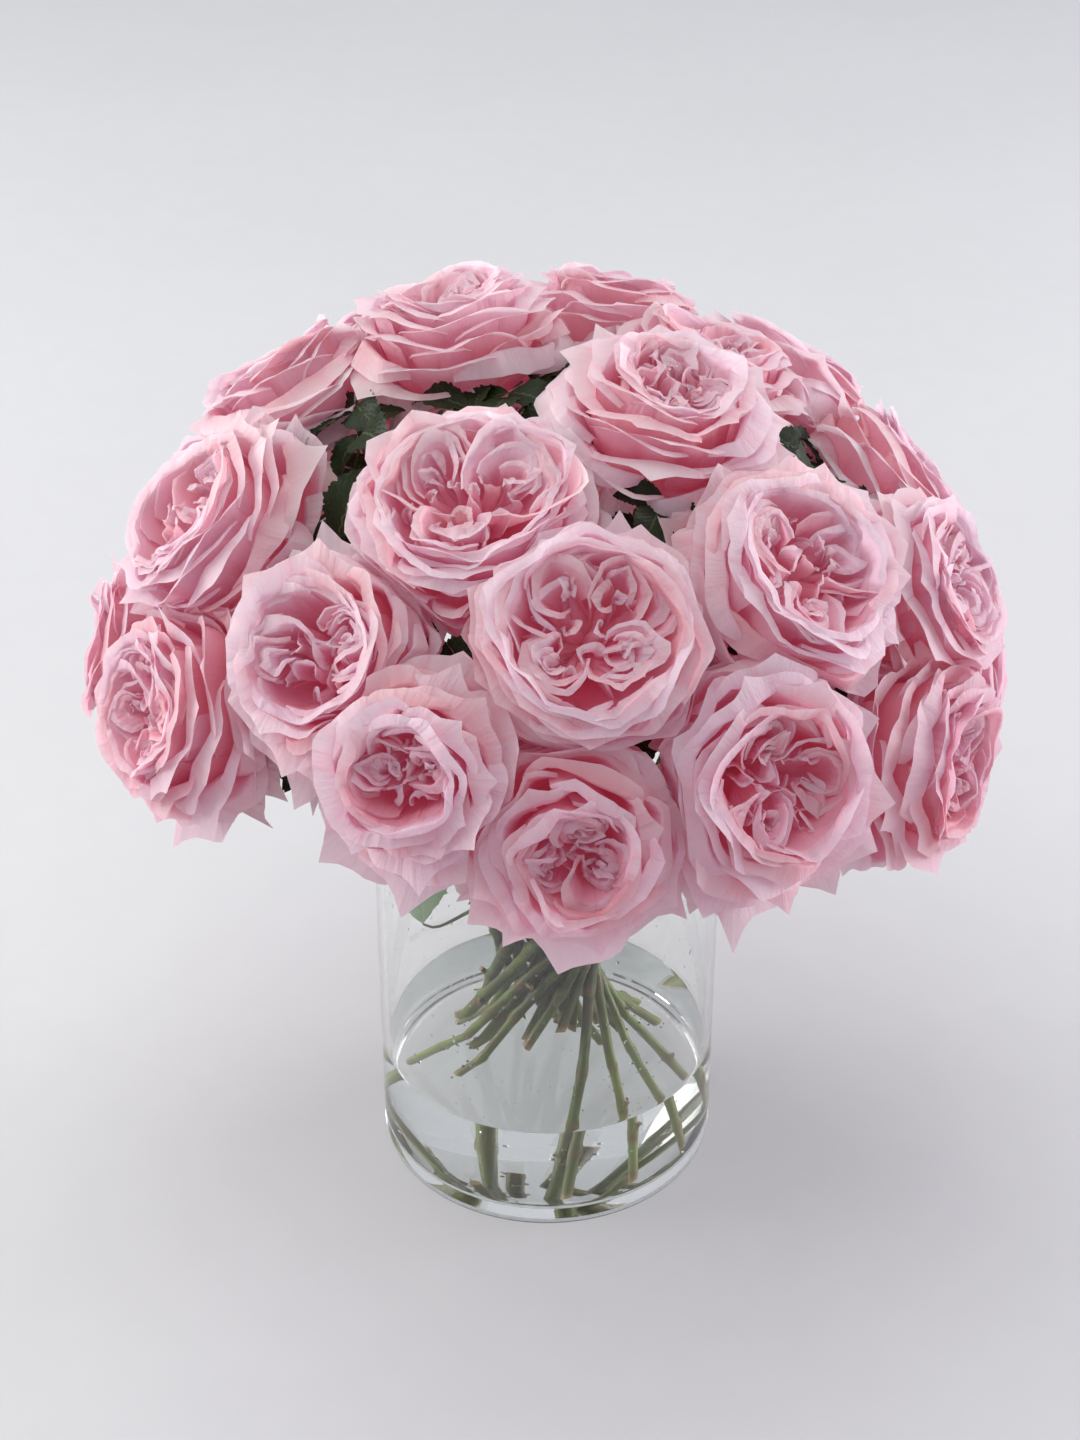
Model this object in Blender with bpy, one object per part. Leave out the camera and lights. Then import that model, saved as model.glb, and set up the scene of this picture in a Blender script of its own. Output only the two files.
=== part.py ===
"""Roses in a vase: a round bunch of open garden roses in a clear glass cylinder of water.

Metres, +Z up, front towards -Y. The origin is the centre of the vase's underside. Every rose is one
stem and one bloom. The stems cross at the waist of the bunch, where they hold each other up, lean out
to the vase's rim, and carry the blooms on a low dome. The long ones stand on the vase's floor.
"""

import math

import bmesh
import bpy
from mathutils import Vector

GAP = 0.0003

VASE_RADIUS = 0.080
VASE_HEIGHT = 0.200
VASE_WALL = 0.0035
VASE_FLOOR = 0.009
FOOT_ROUND = 0.005
INNER_CORNER = 0.004
VASE_SIDES = 51
WATER_LEVEL = 0.058

DOME_CENTRE = Vector((0.001, 0.0, 0.267))
DOME_REACH = 0.198
DOME_RISE = 0.163

BLOOM_DEPTH = 0.056
BLOOM_SIDES = 15
BLOOM_MIDDLE = 0.6
PETALS_IN_A_ROUND = 5
TIP_DROP = 0.6
GOLDEN_TURN = math.radians(137.5)

# Up the outside of the bloom and over its rounds of petals to the eye: height as a share of the
# depth, radius as a share of half the span, how far the petal tips reach, and the round's own turn.
BLOOM_ROUNDS = (
    (0.03, 0.18, 0.00, 0.0),
    (0.26, 0.72, 0.03, 0.0),
    (0.68, 0.97, 0.12, 0.0),
    (0.65, 0.78, 0.00, 0.0),
    (0.87, 0.70, 0.10, 0.6),
    (0.79, 0.50, 0.00, 0.6),
    (0.98, 0.42, 0.12, 1.2),
    (0.86, 0.21, 0.00, 1.2),
)
EYE_HEIGHT = 0.95

# Blooms with more air than this between them can't touch, and a bloom beside the way a petal points
# doesn't stop it.
FAR_APART = 0.02
BESIDE = 0.02

STEM_RADIUS = 0.0032
STEM_TAPER = 0.0005
STEM_SIDES = 6
NODE_SWELL = 0.0004
NODE_EVERY = 3
NECK = 0.014
HIP_RADIUS = 0.0056
HIP_DEPTH = 0.006
HIP_SHOULDER = 0.88
CUT_MIDDLE = 0.004
CUT_SLOPE = 0.55

# A stem isn't quite straight: how far it bows, the waves along it and the shift from stem to stem.
SWAY = 0.0012
SWAY_WAVES = 60
SWAY_SHIFT = 2.4
WAIST_HEIGHT = 0.105
SPREAD = 0.095

# The rings of the bunch, inner to outer: stems, radius at the waist, lean as run over rise, and the
# ring's own turn in degrees.
BUNCH = ((5, 0.0066, 0.38, 0), (8, 0.0146, 0.58, 0), (14, 0.0224, 0.69, 8))
STRAIGHT_HEIGHTS = (0.040, 0.070, 0.100, 0.130, 0.165, 0.205)
BEND_STEPS = 4
BEND_PULL = 0.42

# The hole that each stem leaves in the water.
STEM_CLEARANCE = 0.00042

# Stems cut short, by the rose's number: how high above the vase's floor each ends, in millimetres.
SHORT_STEMS = {
    1: 22,
    2: 64,
    3: 30,
    4: 58,
    5: 32,
    8: 36,
    9: 66,
    10: 30,
    11: 34,
    14: 24,
    16: 28,
    17: 38,
    19: 70,
    20: 60,
    25: 12,
    26: 62,
    27: 57,
}
LEAST_STEP = 0.008

# Where each rose faces, in degrees round from the front and above the horizon, then its span and
# how far it stands out of the dome, in millimetres.
ROSES = (
    (-140, 73, 90, 6),
    (164, 62, 86, 3),
    (66, 76, 98, 2),
    (130, 46, 92, 0),
    (-116, 52, 92, 2),
    (-78, 43, 100, 2),
    (-20, 65, 96, 0),
    (46, 49, 96, 3),
    (104, 34, 88, -2),
    (75, 31, 92, 4),
    (-37, 40, 90, -3),
    (6, 48, 94, 4),
    (-88, 5, 84, 4),
    (-61, 16, 94, 2),
    (-18, 27, 84, 8),
    (3, 15, 92, 0),
    (29, 22, 96, 3),
    (60, 5, 92, 3),
    (122, 67, 90, -6),
    (91, 1, 94, 0),
    (121, 10, 100, 0),
    (150, 17, 102, 0),
    (178, 5, 98, 0),
    (-150, 13, 102, 0),
    (-118, 12, 100, 0),
    (174, 38, 98, 0),
    (-150, 46, 96, 0),
)

LEAF_THICKNESS = 0.0008
LEAF_FOLD = 0.22
LEAF_ARCH = 0.1

# A leaf's outline from stalk to tip: share of its length, and of its half width.
LEAF_OUTLINE = ((0.0, 0.07), (0.22, 0.09), (0.42, 0.85), (0.62, 1.0), (0.84, 0.55), (1.0, 0.04))

# Each leaf: where its stalk starts, where its tip lies, and its width, in millimetres.
LEAVES = {
    "leaf_in_vase": ((-58, -14, 118), (-50, -38, 176), 24),
    "leaf_front_right": ((46, -60, 234), (76, -108, 220), 30),
    "leaf_left_skirt": ((-76, -60, 256), (-108, -110, 276), 28),
    "leaf_crown": ((2, 0, 346), (-2, -20, 408), 26),
}


def clear_scene():
    """Removes whatever the file holds."""
    for obj in list(bpy.data.objects):
        bpy.data.objects.remove(obj, do_unlink=True)


def make_material(name, colour, roughness, transmission=0.0, ior=1.45):
    """A Principled material."""
    material = bpy.data.materials.new(name)
    material.use_nodes = True
    shader = material.node_tree.nodes["Principled BSDF"]
    shader.inputs["Base Color"].default_value = (*colour, 1.0)
    shader.inputs["Roughness"].default_value = roughness
    shader.inputs["Metallic"].default_value = 0.0
    shader.inputs["Transmission Weight"].default_value = transmission
    shader.inputs["IOR"].default_value = ior
    return material


def add_object(name, bm, material):
    """Turns a bmesh into a smooth-shaded object of the scene."""
    bmesh.ops.recalc_face_normals(bm, faces=bm.faces)
    mesh = bpy.data.meshes.new(name)
    bm.to_mesh(mesh)
    bm.free()
    mesh.materials.append(material)
    mesh.shade_smooth()
    mesh.set_sharp_from_angle(angle=math.radians(50))
    obj = bpy.data.objects.new(name, mesh)
    bpy.context.scene.collection.objects.link(obj)
    return obj


def loft(rings):
    """A closed bmesh through rings of points. A ring of one point is a pole, and others are capped."""
    bm = bmesh.new()
    rows = [[bm.verts.new(point) for point in ring] for ring in rings]
    for low, high in zip(rows, rows[1:]):
        count = max(len(low), len(high))
        for k in range(count):
            corners = [low[k % len(low)], low[(k + 1) % len(low)]]
            corners += [high[(k + 1) % len(high)], high[k % len(high)]]
            bm.faces.new(dict.fromkeys(corners))
    for row in (rows[0], rows[-1]):
        if len(row) > 1:
            bm.faces.new(row)
    return bm


def arc(centre, radius, start, end, steps):
    """Points of a profile's round corner, angles in degrees."""
    angles = [math.radians(start + (end - start) * k / steps) for k in range(steps + 1)]
    return [(centre[0] + radius * math.cos(a), centre[1] + radius * math.sin(a)) for a in angles]


def turned(profile):
    """A closed body turned about the Z axis from a profile that starts and ends on it."""
    turns = [2 * math.pi * k / VASE_SIDES for k in range(VASE_SIDES)]
    rings = []
    for radius, height in profile:
        if radius == 0:
            rings.append([Vector((0, 0, height))])
        else:
            rings.append([Vector((radius * math.cos(a), radius * math.sin(a), height)) for a in turns])
    return loft(rings)


def facing(azimuth, elevation):
    """The unit vector that faces round from the front and up from the horizon, in radians."""
    level = math.cos(elevation)
    return Vector((math.sin(azimuth) * level, -math.cos(azimuth) * level, math.sin(elevation)))


def across(axis):
    """Two unit vectors square to an axis."""
    side = axis.cross(Vector((0, 0, 1))).normalized()
    return side, axis.cross(side)


def on_dome(normal):
    """The point of the dome whose outward normal is given."""
    reach, rise = DOME_REACH**2, DOME_RISE**2
    scaled = Vector((normal.x * reach, normal.y * reach, normal.z * rise))
    return DOME_CENTRE + scaled / math.sqrt(scaled.dot(normal))


def place_rose(index, azimuth, elevation, span, lift):
    """One rose: its axis, the foot of its bloom and the bloom's middle."""
    axis = facing(math.radians(azimuth), math.radians(elevation))
    eye = on_dome(axis) + axis * lift / 1000
    foot = eye - axis * BLOOM_DEPTH
    return {
        "index": index,
        "azimuth": math.radians(azimuth),
        "elevation": elevation,
        "axis": axis,
        "foot": foot,
        "middle": foot + axis * BLOOM_DEPTH * BLOOM_MIDDLE,
        "radius": span / 2000,
        "cut_short": SHORT_STEMS.get(index, 0) / 1000,
    }


def room_towards(rose, others, point, outward):
    """How far out from the rose's axis a petal can reach before it meets the next rose."""
    room = rose["radius"] * 2
    for other in others:
        apart = other["middle"] - rose["middle"]
        if other is rose or apart.length > rose["radius"] + other["radius"] + FAR_APART:
            continue
        normal = apart.normalized()
        turned_to = outward.dot(normal)
        if turned_to > BESIDE:
            halfway = (rose["middle"] + other["middle"]) / 2 - normal * GAP
            room = min(room, (halfway - point).dot(normal) / turned_to)
    return room


def bloom_rings(rose, others):
    """The rings of a bloom, pressed in wherever a neighbour leaves it less room."""
    side, up = across(rose["axis"])
    turn = rose["index"] * GOLDEN_TURN
    rings = [[] for _ in BLOOM_ROUNDS]
    for k in range(BLOOM_SIDES):
        angle = turn + 2 * math.pi * k / BLOOM_SIDES
        outward = side * math.cos(angle) + up * math.sin(angle)
        points = []
        for height, share, tip, phase in BLOOM_ROUNDS:
            petal = math.cos(PETALS_IN_A_ROUND * (angle - turn) + phase)
            reach = rose["radius"] * share * (1 + tip * petal)
            level = BLOOM_DEPTH * (height - TIP_DROP * tip * petal)
            points.append((rose["foot"] + rose["axis"] * level, reach))
        pressed = min(1.0, *(room_towards(rose, others, p, outward) / r for p, r in points))
        for ring, (point, reach) in zip(rings, points):
            ring.append(point + outward * reach * pressed)
    eye = rose["foot"] + rose["axis"] * BLOOM_DEPTH * EYE_HEIGHT
    return [[rose["foot"]], *rings, [eye]]


def bunch_point(rose, height):
    """A point of the straight part of a stem. It leans round the waist of the bunch as it rises."""
    out = Vector((math.sin(rose["turn"]), -math.cos(rose["turn"]), 0))
    along = Vector((math.cos(rose["turn"]), math.sin(rose["turn"]), 0))
    rise = height - WAIST_HEIGHT
    wave = math.sin(SWAY_WAVES * height + SWAY_SHIFT * rose["index"])
    bow = SWAY * (rise / SPREAD) * wave
    return out * (rose["ring_radius"] + bow) + along * rose["lean"] * rise + Vector((0, 0, height))


def lay_bunch(roses):
    """Gives each stem its place in the spiral: the higher roses take the inner rings."""
    by_height = sorted(roses, key=lambda rose: -rose["elevation"])
    for count, ring_radius, lean, turn in BUNCH:
        ring = sorted(by_height[:count], key=lambda rose: rose["azimuth"])
        by_height = by_height[count:]
        step = 2 * math.pi / count
        swing = math.atan2(lean * SPREAD, ring_radius)
        start = sum(rose["azimuth"] - k * step for k, rose in enumerate(ring)) / count - swing
        start += math.radians(turn)
        for k, rose in enumerate(ring):
            rose["turn"] = start + k * step
            rose["ring_radius"] = ring_radius
            rose["lean"] = lean


def bend(start, start_way, end, end_way):
    """Points of a smooth bend between two points and directions, without its first point."""
    pull = (end - start).length * BEND_PULL
    second = start + start_way * pull
    third = end - end_way * pull
    points = []
    for k in range(1, BEND_STEPS + 1):
        t = k / BEND_STEPS
        s = 1 - t
        point = start * s**3 + second * 3 * s * s * t + third * 3 * s * t * t + end * t**3
        points.append(point)
    return points


def stem_path(rose):
    """The middle line of a stem from its cut foot to the neck, with the radius at each point."""
    foot_height = VASE_FLOOR + CUT_MIDDLE + rose["cut_short"]
    heights = [height for height in STRAIGHT_HEIGHTS if height > foot_height + LEAST_STEP]
    points = [bunch_point(rose, height) for height in (foot_height, *heights)]
    way = (points[-1] - points[-2]).normalized()
    points += bend(points[-1], way, rose["foot"] - rose["axis"] * NECK, rose["axis"])
    path = []
    for k, point in enumerate(points):
        node = NODE_SWELL if (k + rose["index"]) % NODE_EVERY == 0 and k else 0
        slim = STEM_TAPER * k / len(points)
        path.append((point, STEM_RADIUS - slim + node))
    path.append((rose["foot"] - rose["axis"] * HIP_DEPTH, HIP_RADIUS * HIP_SHOULDER))
    path.append((rose["foot"] - rose["axis"] * GAP, HIP_RADIUS))
    return path


def ring_at(centre, way, radius, start_angle):
    """The points of a stem's section square to its way."""
    side, up = across(way)
    angles = [start_angle + 2 * math.pi * k / STEM_SIDES for k in range(STEM_SIDES)]
    return [centre + (side * math.cos(a) + up * math.sin(a)) * radius for a in angles]


def stem_rings(rose, extra=0.0):
    """The rings of a stem, with a slanting cut at its foot. Extra thickens and lengthens it."""
    path = stem_path(rose)
    neck = len(path) - 3
    rings = []
    for k, (point, radius) in enumerate(path):
        before = path[max(k - 1, 0)][0]
        after = path[min(k + 1, len(path) - 1)][0]
        way = rose["axis"] if k >= neck else (after - before).normalized()
        rings.append(ring_at(point, way, radius + extra, 0.0))
    way = (path[1][0] - path[0][0]).normalized()
    slant = math.cos(rose["index"]) * CUT_SLOPE
    side = across(way)[0]
    cut = [point + way * slant * (point - path[0][0]).dot(side) for point in rings[0]]
    lowest = min(point.z for point in cut)
    foot = VASE_FLOOR + rose["cut_short"] + GAP - extra * 4
    drop = way * (foot - lowest) / way.z
    rings[0] = [point + drop for point in cut]
    return rings


def make_vase(glass):
    """The glass cylinder: thick floor, thin straight wall, rounded foot and rim."""
    inner = VASE_RADIUS - VASE_WALL
    lip = VASE_WALL / 2
    profile = [(0, 0)]
    profile += arc((VASE_RADIUS - FOOT_ROUND, FOOT_ROUND), FOOT_ROUND, -90, 0, 3)
    profile += arc((VASE_RADIUS - lip, VASE_HEIGHT - lip), lip, 0, 180, 4)
    profile += arc((inner - INNER_CORNER, VASE_FLOOR + INNER_CORNER), INNER_CORNER, 0, -90, 2)
    profile += [(0, VASE_FLOOR)]
    return add_object("vase", turned(profile), glass)


def make_water(roses, water):
    """The water: it fills the vase to its level, with a hole for each stem that reaches into it."""
    radius = VASE_RADIUS - VASE_WALL - GAP
    bottom = VASE_FLOOR + GAP
    profile = [(0, bottom)]
    profile += arc((radius - INNER_CORNER, bottom + INNER_CORNER), INNER_CORNER, -90, 0, 2)
    profile += [(radius, WATER_LEVEL), (0, WATER_LEVEL)]
    body = add_object("water", turned(profile), water)
    cutter = bmesh.new()
    for rose in roses:
        wet = sum(point.z < WATER_LEVEL for point, _ in stem_path(rose))
        if not wet:
            continue
        rings = stem_rings(rose, extra=STEM_CLEARANCE)[:wet + 1]
        mesh = bpy.data.meshes.new("stem_clearance")
        tube = loft(rings)
        bmesh.ops.recalc_face_normals(tube, faces=tube.faces)
        tube.to_mesh(mesh)
        tube.free()
        cutter.from_mesh(mesh)
        bpy.data.meshes.remove(mesh)
    clearance = add_object("stem_clearance", cutter, water)
    clearance.hide_render = True
    clearance.display_type = "WIRE"
    cut = body.modifiers.new("stem_clearance", "BOOLEAN")
    cut.object = clearance
    cut.operation = "DIFFERENCE"
    cut.solver = "EXACT"
    return body


def make_leaf(name, start, tip, width, green):
    """A thin pointed leaf, folded along its midrib."""
    start = Vector(start) / 1000
    tip = Vector(tip) / 1000
    half = width / 2000
    way = tip - start
    side = way.cross(Vector((0, 0, 1))).normalized()
    up = side.cross(way).normalized()
    bm = bmesh.new()
    rows = []
    for share, spread in LEAF_OUTLINE:
        arch = LEAF_ARCH * way.length * math.sin(math.pi * share)
        middle = start + way * share + up * arch
        reach = side * half * spread
        lift = up * half * spread * LEAF_FOLD
        rows.append([bm.verts.new(p) for p in (middle - reach + lift, middle, middle + reach + lift)])
    for low, high in zip(rows, rows[1:]):
        for k in range(2):
            bm.faces.new((low[k], low[k + 1], high[k + 1], high[k]))
    obj = add_object(name, bm, green)
    solid = obj.modifiers.new("thickness", "SOLIDIFY")
    solid.thickness = LEAF_THICKNESS
    solid.offset = 0
    solid.use_even_offset = True
    return obj


def build():
    """Makes the whole object."""
    clear_scene()
    glass = make_material("clear_glass", (0.93, 0.96, 0.96), 0.03, transmission=1.0, ior=1.5)
    water = make_material("water", (0.92, 0.96, 0.97), 0.02, transmission=1.0, ior=1.33)
    stem_green = make_material("stem_green", (0.16, 0.25, 0.08), 0.5)
    leaf_green = make_material("leaf_green", (0.07, 0.14, 0.06), 0.45)
    petal_pink = make_material("petal_pink", (0.86, 0.47, 0.55), 0.6)

    roses = [place_rose(index, *row) for index, row in enumerate(ROSES, start=1)]
    lay_bunch(roses)
    make_vase(glass)
    make_water(roses, water)
    for rose in roses:
        number = f"{rose['index']:02d}"
        add_object(f"rose_stem_{number}", loft(stem_rings(rose)), stem_green)
        add_object(f"rose_bloom_{number}", loft(bloom_rings(rose, roses)), petal_pink)
    for name, (start, tip, width) in LEAVES.items():
        make_leaf(name, start, tip, width, leaf_green)


build()
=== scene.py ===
from collections import namedtuple
from math import copysign, cos, pi, radians, sin, sqrt

import bmesh
import bpy
import numpy as np
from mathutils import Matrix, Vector
from numpy.linalg import norm


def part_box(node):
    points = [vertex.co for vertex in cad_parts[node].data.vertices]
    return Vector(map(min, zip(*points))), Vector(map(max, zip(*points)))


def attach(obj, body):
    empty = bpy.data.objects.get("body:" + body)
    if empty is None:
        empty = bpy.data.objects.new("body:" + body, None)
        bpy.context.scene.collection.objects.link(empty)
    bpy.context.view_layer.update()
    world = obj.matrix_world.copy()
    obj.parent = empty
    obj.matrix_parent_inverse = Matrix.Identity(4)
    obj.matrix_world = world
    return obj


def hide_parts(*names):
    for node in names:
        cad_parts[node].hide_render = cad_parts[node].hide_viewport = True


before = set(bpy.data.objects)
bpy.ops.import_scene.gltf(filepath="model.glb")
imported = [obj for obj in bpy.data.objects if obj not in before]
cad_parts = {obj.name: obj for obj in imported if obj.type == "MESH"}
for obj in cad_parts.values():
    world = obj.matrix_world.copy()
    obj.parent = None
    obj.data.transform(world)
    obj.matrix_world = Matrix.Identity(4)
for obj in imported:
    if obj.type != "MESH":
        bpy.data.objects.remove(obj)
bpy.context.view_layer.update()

# Sizes. Places come from the frame. Lengths are metres, except in the blooms and their sepals,
# which are drawn in millimetres about the bloom's own axis and then set on the stem.

MM = 0.001
TAU = 2 * pi
GOLDEN_TURN = radians(137.508)
UP = np.array((0.0, 0.0, 1.0))

CAMERA_PLACE = (-0.0033, -1.039, 0.945)
CAMERA_PITCH = 34.3
CAMERA_LENS = 70
SENSOR_HEIGHT = 36

FLOOR_SIZE = 12.0
FRONT_GLOW = 0.57
BACK_GLOW = 0.74

BLOOM_DEPTH = 56.0
BLOOM_TOP = 57.0
BLOOM_MIDDLE = 0.6
KNOT_PETALS = 6
HEART_PETALS = 13
INNER_PETALS = 10
OUTER_PETALS = 32
GUARD_PETALS = 11

# Painted glow: pink light that the petals give off in their hollows, standing in for the light that
# stacked petals scatter among themselves.
PETAL_GLOW = 0.085

# How near to the halfway plane between two roses their petals come, and how far it waves.
SEAM_MARGIN = 0.006
SEAM_WAVE = 0.0035

CAD_STEM_SIDES = 6
STEM_STEP = 0.0035
STEM_SIDES = 10
STEM_KINK = 0.0009
JOINT_GAPS = (0.026, 0.048)
BARE_TOP = 0.06
STUB_CHANCE = 0.3
SEPALS = 5
HIP_CUP = ((0.6, -0.3), (4.2, -0.2), (6.6, 1.2), (7.6, 3.2), (7.2, 4.6))

LEAF_TEETH = 12
LEAF_BOW = 0.12
STALK_RADIUS = 0.0008

vase_low, vase_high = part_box("vase")
VASE_RADIUS = (vase_high.x - vase_low.x) / 2
VASE_HEIGHT = vase_high.z
VASE_WALL = 0.0035
VASE_FLOOR = 0.009
FOOT_ROUND = 0.005
INNER_CORNER = 0.004
FLOOR_DIP = 0.0006
PUSH_UP = 0.0012
VASE_SEGMENTS = 160
WATER_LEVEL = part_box("water")[1].z
WATER_OVERLAP = 0.00015
MENISCUS = 0.0004
MENISCUS_REACH = 0.002
CRISP = 0.0002
DROPS = 380
BUBBLES_A_STEM = 7


# Small helpers

def ease(t):
    """A smooth step from 0 to 1."""
    t = np.clip(t, 0, 1)
    return t * t * (3 - 2 * t)


def unit(v):
    """The same direction with length 1."""
    v = np.asarray(v, float)
    return v / norm(v)


def square_to(axis):
    """Right and top, as seen by someone who looks straight at a thing that faces along axis."""
    right = np.cross((0.0, 0.0, 1.0), axis)
    if norm(right) < 1e-6:
        right = np.array((1.0, 0.0, 0.0))
    right = unit(right)
    return right, np.cross(axis, right)


def turned(side, up, turn):
    """The direction at an angle from side towards up."""
    return side * cos(turn) + up * sin(turn)


def swing(forward, sideways, turn):
    """Turns a sheet that is drawn straight ahead round the upright axis."""
    return (forward * cos(turn) - sideways * sin(turn),
            forward * sin(turn) + sideways * cos(turn))


def ring_angles(count):
    """Even angles round a ring."""
    return np.arange(count) * TAU / count


def turned_grid(profile, segments):
    """Rings of points about the Z axis, one for each radius and height of a profile."""
    profile = np.array(profile)
    angles = ring_angles(segments)
    radius, height = profile[:, :1], profile[:, 1:]
    return np.stack([radius * np.cos(angles), radius * np.sin(angles),
                     np.repeat(height, segments, axis=1)], -1)


def smooth_curve(points, step):
    """Points every step or so along a smooth curve through the given ones."""
    points = np.asarray(points, float)
    ends = np.vstack([2 * points[0] - points[1], points, 2 * points[-1] - points[-2]])
    curve = [points[0]]
    for a, b, c, d in zip(ends, ends[1:], ends[2:], ends[3:]):
        count = max(1, int(round(norm(c[:3] - b[:3]) / step)))
        for t in (np.arange(count) + 1) / count:
            bent = 2 * b + (c - a) * t + (2 * a - 5 * b + 4 * c - d) * t * t
            curve.append((bent + (3 * b - a - 3 * c + d) * t**3) / 2)
    return np.array(curve)


def carried_frames(points):
    """A curve's direction at each point, and two directions square to it that don't twist."""
    way = np.gradient(points, axis=0)
    way = way / norm(way, axis=1)[:, None]
    side = square_to(way[0])[0]
    sides = []
    for direction in way:
        side = unit(side - direction * side.dot(direction))
        sides.append(side)
    sides = np.array(sides)
    return way, sides, np.cross(way, sides)


def rings_round(line, side, up, radii):
    """Rings of points square to a line, with a radius for each of their corners."""
    angles = ring_angles(radii.shape[1])[None, :, None]
    ring = side[:, None] * np.cos(angles) + up[:, None] * np.sin(angles)
    return line[:, None] + ring * radii[..., None]


def put_in_scene(name, data):
    """A new object in the scene."""
    obj = bpy.data.objects.new(name, data)
    bpy.context.scene.collection.objects.link(obj)
    return obj


class Shape:
    """Points and faces gathered from many small surfaces, which become one object."""

    def __init__(self):
        self.points, self.faces, self.face_slots, self.uvs = [], [], [], []
        self.marks = {}
        self.count = 0

    def add(self, points, faces, uv=None, slot=0, **marks):
        """Adds a surface. Marks are named values at its points, such as how brown they are."""
        points = np.asarray(points, float).reshape(-1, 3)
        total = len(points)
        self.points.append(points)
        self.faces.append(np.asarray(faces, int) + self.count)
        self.face_slots.append(np.full(len(faces), slot))
        self.uvs.append(np.zeros((total, 2)) if uv is None else uv.reshape(-1, 2))
        for name, value in marks.items():
            self.marks.setdefault(name, []).append((self.count, np.broadcast_to(value, total)))
        self.count += total

    def add_grid(self, grid, closed=False, flat=None, slot=0, **marks):
        """Adds a sheet of rows and columns of points. Closed joins the last column to the first.

        Flat is how far across and how far along the sheet the points lie.
        """
        rows, columns = grid.shape[:2]
        index = np.arange(rows * columns).reshape(rows, columns)
        if closed:
            index = np.hstack([index, index[:, :1]])
        faces = np.stack((index[:-1, :-1], index[:-1, 1:], index[1:, 1:], index[1:, :-1]), -1)
        for name, mark in marks.items():
            marks[name] = np.broadcast_to(mark, (rows, columns)).ravel()
        uv = None if flat is None else np.stack(np.broadcast_arrays(*flat), -1)
        self.add(grid, faces.reshape(-1, 4), uv, slot, **marks)

    def add_cap(self, ring, centre, **marks):
        """Closes a ring of points with triangles about a centre."""
        total = len(ring)
        faces = [(k, (k + 1) % total, total) for k in range(total)]
        self.add(np.vstack([ring, centre]), faces, **marks)

    def build(self, name, materials, body="root", slot=None, replaces=()):
        """Makes the object, which rides on a body and may stand for CAD nodes."""
        mesh = bpy.data.meshes.new(name)
        faces = [face for surface in self.faces for face in surface.tolist()]
        mesh.from_pydata(np.vstack(self.points), [], faces)
        slots = np.concatenate(self.face_slots).astype(np.int32)
        mesh.polygons.foreach_set("material_index", slots)
        corners = np.concatenate([surface.ravel() for surface in self.faces])
        uvs = np.vstack(self.uvs)[corners].astype(np.float32)
        mesh.uv_layers.new(name="flat").data.foreach_set("uv", uvs.ravel())
        for mark, stretches in self.marks.items():
            values = np.zeros(len(mesh.vertices), np.float32)
            for start, stretch in stretches:
                values[start:start + len(stretch)] = stretch
            mesh.attributes.new(mark, "FLOAT", "POINT").data.foreach_set("value", values)
        mesh.shade_smooth()
        for material in materials:
            mesh.materials.append(material)
        obj = put_in_scene(name, mesh)
        if body:
            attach(obj, body)
        if replaces:
            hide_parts(*replaces)
        return obj


# What the frame says about the stems and blooms

def welded(node):
    """A CAD node's points with doubles joined, and the neighbours of each point."""
    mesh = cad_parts[node].data
    raw = np.array([v.co for v in mesh.vertices])
    _, first, place = np.unique(np.round(raw, 5), axis=0, return_index=True, return_inverse=True)
    place = place.ravel()
    neighbours = [set() for _ in first]
    for edge in mesh.edges:
        a, b = place[edge.vertices[0]], place[edge.vertices[1]]
        neighbours[a].add(b)
        neighbours[b].add(a)
    return raw[first], neighbours


def stem_line(node):
    """The middle of each ring of a CAD stem with its radius, from the cut end up."""
    points, neighbours = welded(node)
    ring = set(np.argsort(points[:, 2])[:CAD_STEM_SIDES])
    seen = set(ring)
    line = []
    while ring:
        corners = points[sorted(ring)]
        middle = corners.mean(0)
        line.append((*middle, norm(corners - middle, axis=1).mean()))
        ring = {n for k in ring for n in neighbours[k]} - seen
        seen |= ring
    return np.array(line)


# Where a rose stands: its stem's line, and its bloom's foot, axes, middle and half span.
Rose = namedtuple("Rose", "number name line foot axes middle radius")


def read_rose(number):
    """One rose, measured on its CAD stem and bloom."""
    line = stem_line(f"rose_stem_{number:02d}")
    foot = line[-1, :3]
    axis = unit(foot - line[-2, :3])
    apart = welded(f"rose_bloom_{number:02d}")[0] - foot
    apart = apart - np.outer(apart @ axis, axis)
    return Rose(number, f"{number:02d}", line, foot, np.array([*square_to(axis), axis]),
                foot + axis * BLOOM_DEPTH * BLOOM_MIDDLE * MM, norm(apart, axis=1).max() / MM)


def set_on(rose, points):
    """Sets points that are drawn in millimetres about a bloom's axis on its stem."""
    return rose.foot + points @ rose.axes * MM


# Shader building

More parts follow.
